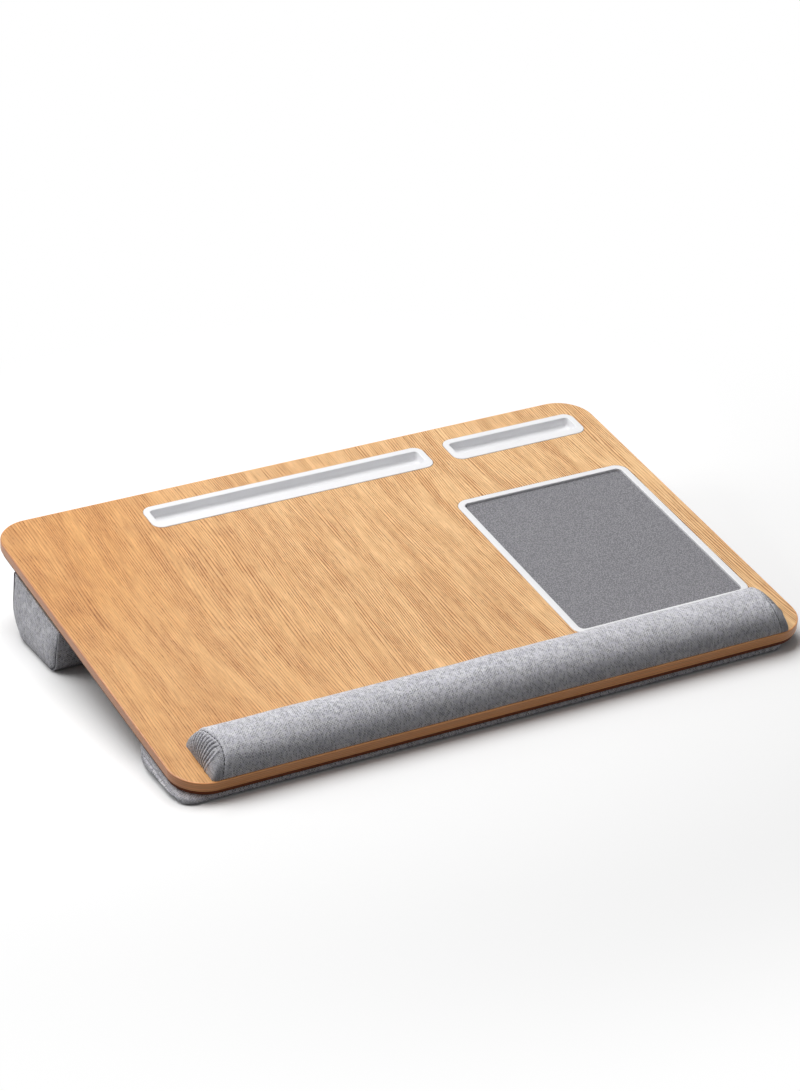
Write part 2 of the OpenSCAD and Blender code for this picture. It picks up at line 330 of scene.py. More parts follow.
oakLook = {
    "grain": {
        "Light": srgb(247, 205, 152), "Dark": srgb(168, 104, 50), "Pore": srgb(130, 78, 36),
        "Pitch": 0.0021, "Wander": 0.055, "Figure": 0.26, "Pores": 0.65, "Mottle": 0.8,
    },
    "wear": {"Smudge": srgb(216, 158, 98), "Amount": 0.14, "Gloss": 0.5, "Spread": 0.2},
    "bump": 0.00012,
    # the dark lines are fainter at the left
    "lines": 0.85, "linesLeft": 0.5, "linesFrom": -0.02, "linesTo": -0.24,
    # the leaves of veneer differ: the left of the board is redder than the right, and the back-left corner is
    # darker and redder still: that part is painted shade
    "leafScale": (5, 1.6, 5), "leafOffset": (1.3, 0, 0), "leafShare": 0.7,
    "redFrom": 0.12, "redTo": -0.27, "redShare": 0.7, "redAndShadeTint": (0.8, 0.63, 0.44, 1),
    "backLeftShadeX": (-0.05, -0.25), "backLeftShadeY": (-0.08, 0.16), "backLeftShadeShare": 0.6,
}


def makeOak():
    look = oakLook
    material, shader = startMaterial("oakVeneer", {"Specular IOR Level": 0.25})
    point = boardPoint()
    parts = split(point)
    lines = ranged(parts[0], look["linesFrom"], look["linesTo"], look["lines"], look["linesLeft"])
    grain = useGroup(grainGroup, {"Vector": point, "Lines": lines, **look["grain"]})
    leaf = minus(cloud(stretched(point, look["leafScale"], look["leafOffset"]), 1, 2), 0.5)
    red = ranged(parts[0], look["redFrom"], look["redTo"], 0, look["redShare"])
    red = plus(red, times(leaf, look["leafShare"]))
    # painted shade: the back-left corner gets more of the red tint
    corner = times(ranged(parts[0], *look["backLeftShadeX"]), ranged(parts[1], *look["backLeftShadeY"]))
    red = plus(red, times(corner, look["backLeftShadeShare"]))
    redderAndShaded = tinted(grain["Color"], look["redAndShadeTint"])
    tone = mixed(clamped(red), grain["Color"], redderAndShaded)
    finishSurface(shader, point, tone, bump(grain["Height"], look["bump"], 0.5), look["wear"])
    return material


edgeLook = {
    "grain": {"Pitch": 0.0019, "Wander": 0.004, "Figure": 0.35, "Lines": 0.6, "Pores": 0.3, "Mottle": 0.3},
    "wear": {"Amount": 0.1, "Spread": 0.15}, "bump": 0.0001, "along": 0.16, "slant": 0.1,
    # painted shade: the band is darker on the left side
    "sideShadeFrom": -0.262, "sideShadeTo": -0.2735, "sideShadeTint": (0.62, 0.56, 0.52, 1),
}


def makeEdgeOak(name, light, dark, gloss, specular):
    # grain that follows the edge: fine layers across the board's thickness, long along X and Y
    look = edgeLook
    material, shader = startMaterial(name, {"Specular IOR Level": specular})
    point = boardPoint()
    parts = split(point)
    along = plus(times(parts[0], look["along"]), times(parts[1], look["along"]))
    sheets = joined(parts[2], along, times(parts[0], look["slant"]))
    colours = {"Light": light, "Dark": dark, "Pore": dark}
    grain = useGroup(grainGroup, {"Vector": sheets, **colours, **look["grain"]})
    # painted shade on the left side of the band
    side = ranged(parts[0], look["sideShadeFrom"], look["sideShadeTo"])
    tone = mixed(side, grain["Color"], tinted(grain["Color"], look["sideShadeTint"]))
    normal = bump(grain["Height"], look["bump"], 0.4)
    finishSurface(shader, point, tone, normal, {"Smudge": light, "Gloss": gloss, **look["wear"]})
    return material


def makeCloth(name, look):
    material, shader = startMaterial(name, {
        "Roughness": 0.92, "Sheen Weight": look["sheen"], "Sheen Roughness": 0.5, "Specular IOR Level": 0.2,
    })
    point = put("UVMap", uv_map="UVMap").outputs[0]
    weave = useGroup(weaveGroup, {"Vector": point, **look["weave"]})
    # soft broad changes of tone, as in cloth that has been handled
    shade = shaded(weave["Color"], ranged(cloud(point, 45, 2, 0.5), 0.3, 0.7, 0.95, 1.04))
    # painted shade: folds, gathers and seams are darker, where the mesh says
    creaseShade = put("Attribute", attribute_name="creaseShade").outputs["Fac"]
    colour = mixed(creaseShade, shade, tinted(shade, look["creaseShade"]))
    fuzz = cloud(point, 5200, 2)
    height = plus(weave["Height"], times(fuzz, 0.35))
    fill(shader, {"Base Color": colour, "Normal": bump(height, look["relief"], 0.8)})
    return material


def makePlain(name, colour, smudge, gloss, relief, grainScale):
    # moulded or sheet material with a fine surface grain
    material, shader = startMaterial(name, {})
    point = put("TexCoord").outputs["Object"]
    normal = bump(cloud(point, grainScale, 3, 0.6), relief, 0.5)
    wear = {"Smudge": smudge, "Amount": 0.25, "Gloss": gloss, "Spread": 0.14}
    finishSurface(shader, point, colour, normal, wear)
    return material


matLook = {
    "pebble": {"Size": 0.0011, "Light": srgb(156, 155, 160), "Dark": srgb(108, 107, 112)},
    "wear": {"Smudge": srgb(150, 149, 152), "Amount": 0.08, "Gloss": 0.5, "Spread": 0.1},
    "bump": 0.00026,
}


def makeMatLeather():
    material, shader = startMaterial("matLeather", {"Specular IOR Level": 0.4})
    point = boardPoint()
    pebble = useGroup(pebbleGroup, {"Vector": point, **matLook["pebble"]})
    normal = bump(pebble["Height"], matLook["bump"], 0.9)
    finishSurface(shader, point, pebble["Color"], normal, matLook["wear"])
    return material


def makeHooks(name):
    # rows of tiny hooks or loops
    material, shader = startMaterial(name, {"Roughness": 0.8, "Sheen Weight": 0.2})
    cells = cellsOf(boardPoint(), 1300.0, 0.35)
    colour = mixed(ranged(cells, 0.1, 0.55), srgb(72, 72, 76), srgb(22, 22, 24))
    normal = bump(ranged(cells, 0.6, 0.05), 0.0004)
    fill(shader, {"Base Color": colour, "Normal": normal})
    return material


clothLook = {
    "weave": {
        "Threads": 920.0, "Light": srgb(255, 255, 255), "Middle": srgb(228, 227, 236),
        "Dark": srgb(112, 111, 121), "Slub": 0.22,
    },
    # the colour for folds and seams is painted shade
    "sheen": 0.15, "relief": 0.00034, "creaseShade": srgb(92, 92, 98),
}
backingLook = {
    "weave": {
        "Threads": 1500.0, "Light": srgb(58, 58, 62), "Middle": srgb(42, 42, 46),
        "Dark": srgb(26, 26, 29), "Slub": 0.2,
    },
    # the colour for folds and seams is painted shade
    "sheen": 0.1, "relief": 0.00012, "creaseShade": srgb(120, 120, 124),
}

oak = makeOak()
edgeOak = makeEdgeOak("edgeOak", srgb(252, 174, 102), srgb(218, 136, 72), 0.36, 0.7)
darkWood = makeEdgeOak("darkWood", srgb(128, 66, 28), srgb(84, 38, 14), 0.6, 0.3)
heather = makeCloth("heatherCloth", clothLook)
backingCloth = makeCloth("backingCloth", backingLook)
whitePlastic = makePlain("whitePlastic", srgb(238, 238, 240), srgb(222, 222, 225), 0.36, 0.00004, 2600)
blackPlastic = makePlain("blackPlastic", srgb(38, 38, 40), srgb(58, 58, 60), 0.5, 0.00005, 1800)
fibreboard = makePlain("fibreboard", srgb(150, 118, 86), srgb(120, 92, 66), 0.9, 0.0002, 900)
foam = makePlain("padding", srgb(240, 236, 224), srgb(224, 218, 202), 0.95, 0.0006, 700)
matFoam = makePlain("matFoam", srgb(52, 52, 54), srgb(36, 36, 38), 0.9, 0.0003, 1500)
matLeather = makeMatLeather()
hookTape = makeHooks("hookTape")
# thread for the stitches; its dark colour also draws the seam's shadow line, which is painted shade
seamShadeThread = makePlain("seamShadeThread", srgb(36, 35, 40), srgb(60, 59, 66), 0.85, 0.0001, 4000)
print("materials made")

kept = {
    "face_veneer": oak, "backing_veneer": edgeOak, "core_board": fibreboard, "base_board": darkWood,
    "loop_pads": hookTape, "hook_pads": hookTape, "wrist_rest_strip": blackPlastic,
}
for name, material in kept.items():
    nodes[name].data.materials.clear()
    nodes[name].data.materials.append(material)


# rigid pieces, modelled flat in the board's frame and then laid on the slope

def clearSelection():
    if bpy.context.mode != "OBJECT":
        bpy.ops.object.mode_set(mode="OBJECT")
    bpy.ops.object.select_all(action="DESELECT")


def selectOnly(piece):
    clearSelection()
    bpy.context.view_layer.objects.active = piece
    piece.select_set(True)


def selectAll():
    bpy.ops.mesh.select_all(action="SELECT")


def faceOutwards():
    selectAll()
    bpy.ops.mesh.normals_make_consistent(inside=False)


def extrudeBy(height):
    bpy.ops.mesh.extrude_region_move(TRANSFORM_OT_translate={"value": (0, 0, height)})


def insetBy(amount):
    bpy.ops.mesh.inset(thickness=amount, depth=0)


def startBlock(name, width, depth, corner, centre, low, high, steps=10):
    # a plate with round corners, left in edit mode
    clearSelection()
    bpy.ops.mesh.primitive_plane_add(size=1, location=(*centre, low))
    piece = bpy.context.object
    piece.name = piece.data.name = name
    piece.scale = (width, depth, 1)
    bpy.ops.object.transform_apply(location=True, rotation=True, scale=True)
    bpy.ops.object.mode_set(mode="EDIT")
    selectAll()
    bpy.ops.mesh.bevel(offset=corner, segments=steps, affect="VERTICES", clamp_overlap=False)
    selectAll()
    extrudeBy(high - low)
    faceOutwards()
    return piece


def startPick(piece, kind):
    bpy.ops.mesh.select_mode(type=kind)
    bpy.ops.mesh.select_all(action="DESELECT")
    mesh = bmesh.from_edit_mesh(piece.data)
    mesh.normal_update()
    return mesh


def pickWidest(piece, *sides):
    # selects the widest face that looks up (1) or down (-1)
    mesh = startPick(piece, "FACE")
    for side in sides:
        facing = [face for face in mesh.faces if face.normal.z * side > 0.9]
        max(facing, key=lambda face: face.calc_area()).select_set(True)
    bmesh.update_edit_mesh(piece.data)


def pickSharp(piece, height):
    # selects the sharp edges that lie at one height
    mesh = startPick(piece, "EDGE")
    for edge in mesh.edges:
        level = all(abs(v.co.z - height) < 1e-5 for v in edge.verts)
        if level and len(edge.link_faces) == 2 and edge.calc_face_angle(0) > math.radians(50):
            edge.select_set(True)
    bmesh.update_edit_mesh(piece.data)


def roundPicked(offset, steps):
    bpy.ops.mesh.bevel(offset=offset, segments=steps, affect="EDGES", clamp_overlap=False)


def roundRim(offset, steps):
    bpy.ops.mesh.region_to_loop()
    roundPicked(offset, steps)


def roundWidest(piece, side, offset, steps):
    pickWidest(piece, side)
    roundRim(offset, steps)


def finishPiece(piece, material, body, slot, *replaced, angle=None):
    # shades the piece, with flat faces kept flat if it has no angle, and hides the parts that it replaces
    selectOnly(piece)
    bpy.ops.object.shade_smooth_by_angle(angle=math.radians(angle or 35))
    if not angle:
        piece.modifiers.new("flatFaces", "WEIGHTED_NORMAL").keep_sharp = True
        bpy.ops.object.modifier_apply(modifier="flatFaces")
    piece.data.materials.clear()
    piece.data.materials.append(material)
    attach(piece, body)
    if replaced:
        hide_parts(*replaced)


def layOnBoard(piece, material, body, slot, *replaced):
    # leaves edit mode and places the mesh on the slope
    faceOutwards()
    clearSelection()
    piece.data.transform(onBoard)
    finishPiece(piece, material, body, slot, *replaced)


band = {"round": 0.0009, "flat": 0.0001, "steps": 4, "cornerSteps": 28}


def makeBand():
    # wooden band round the edge with both arrises eased
    size = (deck["width"], deck["depth"], deck["corner"])
    piece = startBlock("edgeBand", *size, (0, 0), -deck["thick"], 0, band["cornerSteps"])
    for side in (1, -1):
        roundWidest(piece, side, band["round"], band["steps"])
        pickWidest(piece, side)
        insetBy(band["flat"])
    pickWidest(piece, 1, -1)
    bpy.ops.mesh.bridge_edge_loops()
    layOnBoard(piece, edgeOak, "desk_top", "oak_edge", "edge_band")


tray = {
    "phone": {"width": 0.1284, "x": 0.1928}, "tablet": {"width": 0.26, "x": -0.0209},
    "depth": 0.033, "y": 0.1535, "corner": 0.009, "rimTop": 0.0004, "rimUnder": -0.0012,
    "rimEnd": 0.0057, "rimFront": 0.0085, "rimRear": 0.0064, "floor": -0.0068, "under": -0.008,
    "wall": 0.0012, "rimRound": 0.0006, "slotRound": 0.0006, "floorRound": 0.0022, "taper": 0.0011,
}


def resizeTo(new, now, centre, moved=0):
    # brings the picked faces from one width and depth to another
    bpy.ops.transform.resize(value=(new[0] / now[0], new[1] / now[1], 1), center_override=centre)
    bpy.ops.transform.translate(value=(0, moved, 0))


def makeTray(name, node, width, centreX):
    # moulded tray: eased rim, slot with walls that draw in, round floor corners
    t = tray

    def within(margin):
        return (width - 2 * margin, t["depth"] - 2 * margin)

    def around(margin):
        return (mouth[0] + 2 * margin, mouth[1] + 2 * margin)

    piece = startBlock(name, width, t["depth"], t["corner"], (centreX, t["y"]), t["rimUnder"], t["rimTop"])
    mouth = (width - 2 * t["rimEnd"], t["depth"] - t["rimFront"] - t["rimRear"])
    offset = (t["rimFront"] - t["rimRear"]) / 2
    roundWidest(piece, 1, t["rimRound"], 3)
    pickWidest(piece, 1)
    insetBy(t["rimEnd"] - t["rimRound"])
    resizeTo(mouth, within(t["rimEnd"]), (centreX, t["y"], t["rimTop"]), offset)
    extrudeBy(t["floor"] - t["rimTop"])
    resizeTo(around(-t["taper"]), mouth, (centreX, t["y"] + offset, t["floor"]))
    roundRim(t["floorRound"], 4)
    pickSharp(piece, t["rimTop"])
    roundPicked(t["slotRound"], 3)
    pickWidest(piece, -1)
    margin = t["rimEnd"] - t["wall"]
    insetBy(margin)
    resizeTo(around(t["wall"]), within(margin), (centreX, t["y"], t["rimUnder"]), offset)
    extrudeBy(t["under"] - t["rimUnder"])
    layOnBoard(piece, whitePlastic, "desk_top", "white_plastic", node)


mat = {
    "centre": (0.17625, -0.025), "width": 0.1635, "depth": 0.210, "corner": 0.011, "rim": 0.006,
    "low": -0.0036, "top": 0.0004, "round": 0.0009, "inner": 0.0006, "fit": 0.0003,
    "foamTop": -0.0026, "matTop": -0.0016, "edge": 0.0004,
}


def makeMat():
    size = (mat["width"], mat["depth"])
    piece = startBlock("mouseMatFrame", *size, mat["corner"], mat["centre"], mat["low"], mat["top"])
    roundWidest(piece, 1, mat["round"], 4)
    pickWidest(piece, 1)
    insetBy(mat["rim"] - mat["round"])
    pickWidest(piece, -1)
    insetBy(mat["rim"])
    pickWidest(piece, 1, -1)
    bpy.ops.mesh.bridge_edge_loops()
    pickSharp(piece, mat["top"])
    roundPicked(mat["inner"], 3)
    layOnBoard(piece, whitePlastic, "desk_top", "white_plastic", "mouse_mat_frame")

    inside = 2 * (mat["rim"] + mat["fit"])
    size = (mat["width"] - inside, mat["depth"] - inside)
    corner = mat["corner"] - mat["rim"] - mat["fit"]
    sheet = startBlock("mouseMat", *size, corner, mat["centre"], mat["foamTop"], mat["matTop"], 8)
    roundWidest(sheet, 1, mat["edge"], 3)
    layOnBoard(sheet, matLeather, "desk_top", "mat_leather", "mouse_mat")
    pad = startBlock("mouseMatFoam", *size, corner, mat["centre"], mat["low"], mat["foamTop"], 8)
    roundWidest(pad, 1, mat["edge"], 2)
    layOnBoard(pad, matFoam, "desk_top", "mat_foam", "mouse_mat_foam")


makeBand()
makeTray("phoneTray", "phone_tray", tray["phone"]["width"], tray["phone"]["x"])
makeTray("tabletTray", "tablet_tray", tray["tablet"]["width"], tray["tablet"]["x"])
makeMat()
print("board, trays and mat made")


# cloth pieces, as grids of points: rows run along X, columns round the section

def cornerIn(distance, radius):
    # how far a round corner stands in from the side, at a distance from the end
    d = max(radius - distance, 0.0)
    return radius - math.sqrt(max(radius * radius - d * d, 0.0))


def lengths(line):
    # metres along a line of points, at each of them
    return np.r_[0, np.cumsum(np.linalg.norm(np.diff(line, axis=0), axis=1))]


def evenly(curve, count):
    # the same curve with count points at even spacing
    step = lengths(curve)
    at = np.linspace(0, step[-1], count)
    return np.stack([np.interp(at, step, curve[:, k]) for k in range(curve.shape[1])], axis=1)


def sampled(values, at):
    # smooth curve through rows of values, read at fractional rows
    i = np.clip(np.floor(at).astype(int), 0, len(values) - 2)
    t = (at - i).reshape((-1,) + (1,) * (values.ndim - 1))
    a, b, c, d = (values[np.clip(i + k, 0, len(values) - 1)] for k in (-1, 0, 1, 2))
    return b + 0.5 * t * (c - a + t * (2 * a - 5 * b + 4 * c - d + t * (3 * (b - c) + d - a)))


def refined(coarse, rowsAt, columns):
    # the same surface with more rows and columns
    columnsAt = np.linspace(0, coarse.shape[1] - 1, columns)
    return sampled(sampled(coarse, rowsAt).transpose(1, 0, 2), columnsAt).transpose(1, 0, 2)


def clothMetres(grid, column):
    # metres along the cloth at each point: from the left end, and round the section
    return np.meshgrid(lengths(grid[:, column]), lengths(grid[len(grid) // 2]), indexing="ij")


def rowPlaces(length, reach, spacing, endSteps, easing=()):
    # where the rows lie along a form: close together where its ends are rounded
    ends = [reach * (1 - math.cos(math.pi / 2 * k / endSteps)) for k in range(endSteps + 1)]
    inner = int((length - 2 * reach) / spacing)
    middle = [reach + (length - 2 * reach) * k / inner for k in range(1, inner)]
    ends += [reach + spacing * t for t in easing]
    return ends + middle + [length - s for s in reversed(ends)]


def gridNormals(points):
    normal = np.cross(np.gradient(points, axis=0), np.gradient(points, axis=1))
    return normal / np.maximum(np.linalg.norm(normal, axis=2, keepdims=True), 1e-12)


def smooth(value, low, high):
    t = np.clip((value - low) / (high - low), 0, 1)
    return t * t * (3 - 2 * t)


def bell(distance, width):
    return np.exp(-((distance / width) ** 2))


def lumps(points, size, height, seed):
    # uneven filling: a soft field over the grid
    flat = points.reshape(-1, 3)
    field = [softNoise.noise(Vector((p[0] / size + seed, p[1] / size, p[2] / size))) for p in flat]
    return np.array(field).reshape(points.shape[:2]) * height


def addObject(name, data):
    made = bpy.data.objects.new(name, data)
    scene.collection.objects.link(made)
    return made


def addFrom(name, work):
    mesh = bpy.data.meshes.new(name)
    work.to_mesh(mesh)
    work.free()
    return addObject(name, mesh)


def weld(work):
    bmesh.ops.remove_doubles(work, verts=work.verts, dist=1e-6)
    bmesh.ops.dissolve_degenerate(work, edges=work.edges, dist=1e-7)


def panelMesh(name, panels, merged=True):
    # one mesh from several grids of points, each with its grids of metres along the cloth and of painted
    # shade in creases
    points, faces, corners, creaseShades = [], [], [], []
    for grid, flat, creaseShade in panels:
        rows, columns = grid.shape[:2]
        base = sum(len(p) for p in points)
        points.append(grid.reshape(-1, 3))
        index = np.arange(rows * columns).reshape(rows, columns)
        around = [index[:-1, :-1], index[1:, :-1], index[1:, 1:], index[:-1, 1:]]
        quads = np.stack(around, axis=-1).reshape(-1, 4)
        faces.append(quads + base)
        corners.append(flat.reshape(-1, 2)[quads.ravel()])
        creaseShades.append(creaseShade.ravel())
    mesh = bpy.data.meshes.new(name)
    mesh.from_pydata(np.concatenate(points).tolist(), [], np.concatenate(faces).tolist())
    layer = mesh.uv_layers.new(name="UVMap")
    layer.data.foreach_set("uv", np.concatenate(corners).astype(np.float32).ravel())
    creaseShadeLayer = mesh.attributes.new("creaseShade", "FLOAT", "POINT")
    creaseShadeLayer.data.foreach_set("value", np.clip(np.concatenate(creaseShades), 0, 1).astype(np.float32))
    if merged:
        work = bmesh.new()
        work.from_mesh(mesh)
        weld(work)
        work.to_mesh(mesh)
        work.free()
    return addObject(name, mesh)


def thicken(piece, wall):
    selectOnly(piece)
    shell = piece.modifiers.new("shell", "SOLIDIFY")
    shell.thickness = wall
    shell.offset = -1
    bpy.ops.object.modifier_apply(modifier="shell")


puff = {
    "frames": 20, "quality": 5, "mass": 0.3, "tension_stiffness": 12.0, "compression_stiffness": 12.0,
    "bending_stiffness": 3.0, "use_pressure": True, "uniform_pressure_force": 4.0,
    "vertex_group_mass": "held",
}


def inflate(grid, held, cap):
    # cloth under pressure from inside; held points stay, and no point moves further than cap
    piece = panelMesh("puff", [(grid, grid[..., :2], grid[..., 0] * 0)], merged=False)
    group = piece.vertex_groups.new(name="held")
    group.add(np.flatnonzero(held.ravel()).tolist(), 1.0, "REPLACE")
    cloth = piece.modifiers.new("cloth", "CLOTH")
    for key, value in puff.items():
        if key != "frames":
            setattr(cloth.settings, key, value)
    cloth.settings.effector_weights.gravity = 0
    cloth.point_cache.frame_start = 1
    cloth.point_cache.frame_end = puff["frames"]
    for number in range(1, puff["frames"] + 1):
        scene.frame_set(number)
    selectOnly(piece)
    bpy.ops.object.modifier_apply(modifier="cloth")
    scene.frame_set(1)
    after = np.zeros(grid.size, dtype=np.float32)
    piece.data.vertices.foreach_get("co", after)
    moved = after.reshape(grid.shape) - grid
    length = np.linalg.norm(moved, axis=2, keepdims=True)
    mesh = piece.data
    bpy.data.objects.remove(piece)
    bpy.data.meshes.remove(mesh)
    print("  cloth moved by up to", round(float(length.max()) * 1000, 2), "mm")
    return grid + moved * np.minimum(1, cap / np.maximum(length, 1e-9))


rest = {
    "centre": (0.002, -0.16425), "width": 0.506, "depth": 0.0515, "height": 0.0225, "power": 2.5,
    "fall": 0.017, "fallPower": 2.15, "corner": 0.004, "cloth": 0.0009, "fit": 0.0003, "strip": 0.0015,
    "columns": 45, "endSteps": 12, "spacing": 0.0055, "shrink": 0.0006, "cap": 0.0012, "lowest": 0.0004,
    "fineColumns": 191, "endRows": 72, "middleRows": 112, "lumpSize": 0.035, "lumps": 0.0005,
    # the end seam: how far it lies from the end, at shares of the way over from the front to the back
    "seamShare": (0, 0.05, 0.13, 0.21, 0.31, 0.41, 0.52, 0.66, 0.9, 1),
    "seamPlace": (0.0075, 0.0083, 0.0098, 0.0113, 0.0121, 0.0122, 0.011, 0.0097, 0.0085, 0.008),
    "seamDepth": 0.0008, "seamWidth": 0.0007, "rollHeight": 0.0005, "rollAway": 0.0024, "rollWidth": 0.0018,
    # gathers between the seam and the end, and the dart that closes them
    "ribs": 19, "ribDepth": 0.0007, "ribSway": 0.12, "ribSwayPitch": 700, "inside": 0.003,
    "foldDepth": 0.0007, "foldWidth": 0.0011, "dartShare": 0.25, "dartSlant": 0.08, "dartReach": 0.0122,
    # painted shade: how much darker the ribs' grooves, the seam and the gathered end are
    "ribShade": 0.6, "seamShade": 0.15, "insideShade": 0.25, "edgeShare": 0.06,
    "stitchColumns": (12, 181), "stitchRaised": 0.0001,
    "foamIn": 0.0018, "foamColumns": 33, "foamLowest": 0.003, "foamOff": 0.0002,
}


def restRing(x, s, wall, count, lowest):
    half = rest["depth"] / 2 - wall - cornerIn(s, rest["corner"] - wall)
    share = min(s / (rest["fall"] - wall), 1.0)
    rise = (1 - (1 - share) ** rest["fallPower"]) ** (1 / rest["fallPower"])
    top = max((rest["height"] - wall) * rise, lowest)
    angle = np.linspace(math.pi, 0, 181)
    power = 2 / rest["power"]
    y = half * np.sign(np.cos(angle)) * np.abs(np.cos(angle)) ** power
    z = top * np.abs(np.sin(angle)) ** power
    ring = evenly(np.stack([y, z], axis=1), count)
    return np.column_stack([np.full(count, x), ring])


def restGrid(wall, count, lowest):
    length = rest["width"] - 2 * wall
    along = rowPlaces(length, rest["fall"] - wall, rest["spacing"], rest["endSteps"])
    return np.array([restRing(s - length / 2, min(s, length - s), wall, count, lowest) for s in along])


def moveTo(grid, matrix):
    turn = np.array(matrix.to_3x3())
    return grid @ turn.T + np.array(matrix.translation)


def makeWristRest():
    r = rest
    place = onBoard @ Matrix.Translation((*r["centre"], 0))
    start = restGrid(r["shrink"], r["columns"], r["lowest"])
    held = np.zeros(start.shape[:2], dtype=bool)
    held[:, :2] = held[:, -2:] = True
    held[:1] = held[-1:] = True
    coarse = inflate(start, held, r["cap"])
    last = len(coarse) - 1
    left, right = r["endSteps"] + 0.5, last - r["endSteps"] - 0.5
    rowsAt = np.concatenate([
        np.linspace(0, left, r["endRows"]),
        np.linspace(left, right, r["middleRows"])[1:],
        np.linspace(right, last, r["endRows"])[1:],
    ])
    fine = refined(coarse, rowsAt, r["fineColumns"])
    fine[..., 2] = np.maximum(fine[..., 2], 0.0)
    along, around = clothMetres(fine, r["fineColumns"] // 2)
    girth = around[0, -1]
    share = around / girth
    normal = gridNormals(fine)
    fromEnd = np.minimum(fine[..., 0] - fine[0, 0, 0], fine[-1, 0, 0] - fine[..., 0])
    seamAt = np.interp(share, r["seamShare"], r["seamPlace"])
    seam = bell(fromEnd - seamAt, r["seamWidth"])
    inside = smooth(fromEnd, seamAt, seamAt - r["inside"])
    dartAt = r["dartShare"] + r["dartSlant"] * fromEnd / r["dartReach"]
    sway = r["ribSway"] * np.sin(fromEnd * r["ribSwayPitch"])
    wave = (0.5 + 0.5 * np.cos(2 * math.pi * (share * r["ribs"] + sway))) ** 2
    gathered = smooth(share, dartAt + 0.01, dartAt + 0.05) * smooth(share, 0.99, 0.96) * inside
    push = lumps(fine, r["lumpSize"], r["lumps"], 2.0)
    push -= r["ribDepth"] * wave * gathered
    push -= r["seamDepth"] * seam
    push += r["rollHeight"] * bell(fromEnd - seamAt - r["rollAway"], r["rollWidth"])
    push += r["foldDepth"] * bell((share - dartAt) * girth, r["foldWidth"]) * inside
    # painted shade in the grooves of the ribs, along the seam and over the gathered end
    creaseShade = r["ribShade"] * wave * gathered + r["seamShade"] * seam + r["insideShade"] * inside
    edge = smooth(share, 0.0, r["edgeShare"]) * smooth(share, 1.0, 1 - r["edgeShare"])
    fine = fine + normal * (push * edge)[..., None]
    fine[..., 2] = np.maximum(fine[..., 2], 0.00005)
    seams = []
    for half in (slice(0, len(fine) // 2), slice(len(fine) // 2, len(fine))):
        across = np.abs(fromEnd - seamAt)[half].argmin(axis=0) + half.start
        columns = range(*r["stitchColumns"])
        raised = [fine[across[k], k] + normal[across[k], k] * r["stitchRaised"] for k in columns]
        seams.append(np.array(raised))
    piece = panelMesh("wristRestCover", [(moveTo(fine, place), np.stack([along, around], axis=-1), creaseShade)])
    thicken(piece, r["cloth"])
    finishPiece(piece, heather, "desk_top", "heather_fabric", "wrist_rest_cover", angle=60)
    for side, seam in zip(("Left", "Right"), seams):
        makeStitches("wristRestStitches" + side, moveTo(seam, place), "desk_top")

    wall = r["cloth"] + r["fit"] + r["foamIn"]
    inner = restGrid(wall, r["foamColumns"], r["foamLowest"])
    bottom = r["strip"] + r["foamOff"]
    inner[..., 2] = bottom + inner[..., 2] * (1 - bottom / r["height"])
    closed = closedMesh("wristRestFoam", moveTo(inner, place))
    finishPiece(closed, foam, "desk_top", "padding", "wrist_rest_foam", angle=50)


stitch = {"length": 0.0021, "gap": 0.0014, "radius": 0.00036}


def makeStitches(name, line, body):
    # short threads, sunk a little at both ends, along a line
    step = lengths(line)
    pitch = stitch["length"] + stitch["gap"]
    work = bmesh.new()
    for k in range(int(step[-1] / pitch)):
        at = [k * pitch, k * pitch + stitch["length"]]
        a, b = (Vector([np.interp(s, step, line[:, c]) for c in range(3)]) for s in at)
        turn = (b - a).to_track_quat("Z", "Y").to_matrix().to_4x4()
        half = (b - a).length / 2 + stitch["radius"]
        size = Matrix.Diagonal((stitch["radius"], stitch["radius"], half, 1))
        matrix = Matrix.Translation((a + b) / 2) @ turn @ size
        bmesh.ops.create_uvsphere(work, u_segments=6, v_segments=5, radius=1, matrix=matrix)
    finishPiece(addFrom(name, work), seamShadeThread, body, "heather_fabric", angle=80)


def closedMesh(name, grid):
    # a stuffed form: the rings closed across their open side, and both ends capped
    columns = grid.shape[1]
    work = bmesh.new()
    ring = [[work.verts.new(p) for p in row] for row in grid.tolist()]
    for a, b in zip(ring, ring[1:]):
        for k in range(columns):
            n = (k + 1) % columns
            work.faces.new((a[k], b[k], b[n], a[n]))
    work.faces.new(ring[0])
    work.faces.new(list(reversed(ring[-1])))
    weld(work)
    bmesh.ops.recalc_face_normals(work, faces=work.faces)
    if work.calc_volume(signed=True) < 0:
        bmesh.ops.reverse_faces(work, faces=work.faces)
    return addFrom(name, work)


makeWristRest()
print("wrist rest made")


# the two cushions under the base board

layers = {
    "clothTop": 0.012, "baseUnder": 0.0115, "baseSetback": 0.0018, "press": 0.0005, "cloth": 0.0009,
    "fillingIn": 0.0013,
}


def layerZ(y, drop):
    # height over the floor of a layer that lies drop below the board's face
    return deck["height"] + (y + deck["centreY"]) * math.tan(deck["tilt"]) - drop / math.cos(deck["tilt"])


def layerY(y, drop):
    return y * math.cos(deck["tilt"]) + drop * math.sin(deck["tilt"]) - deck["centreY"]


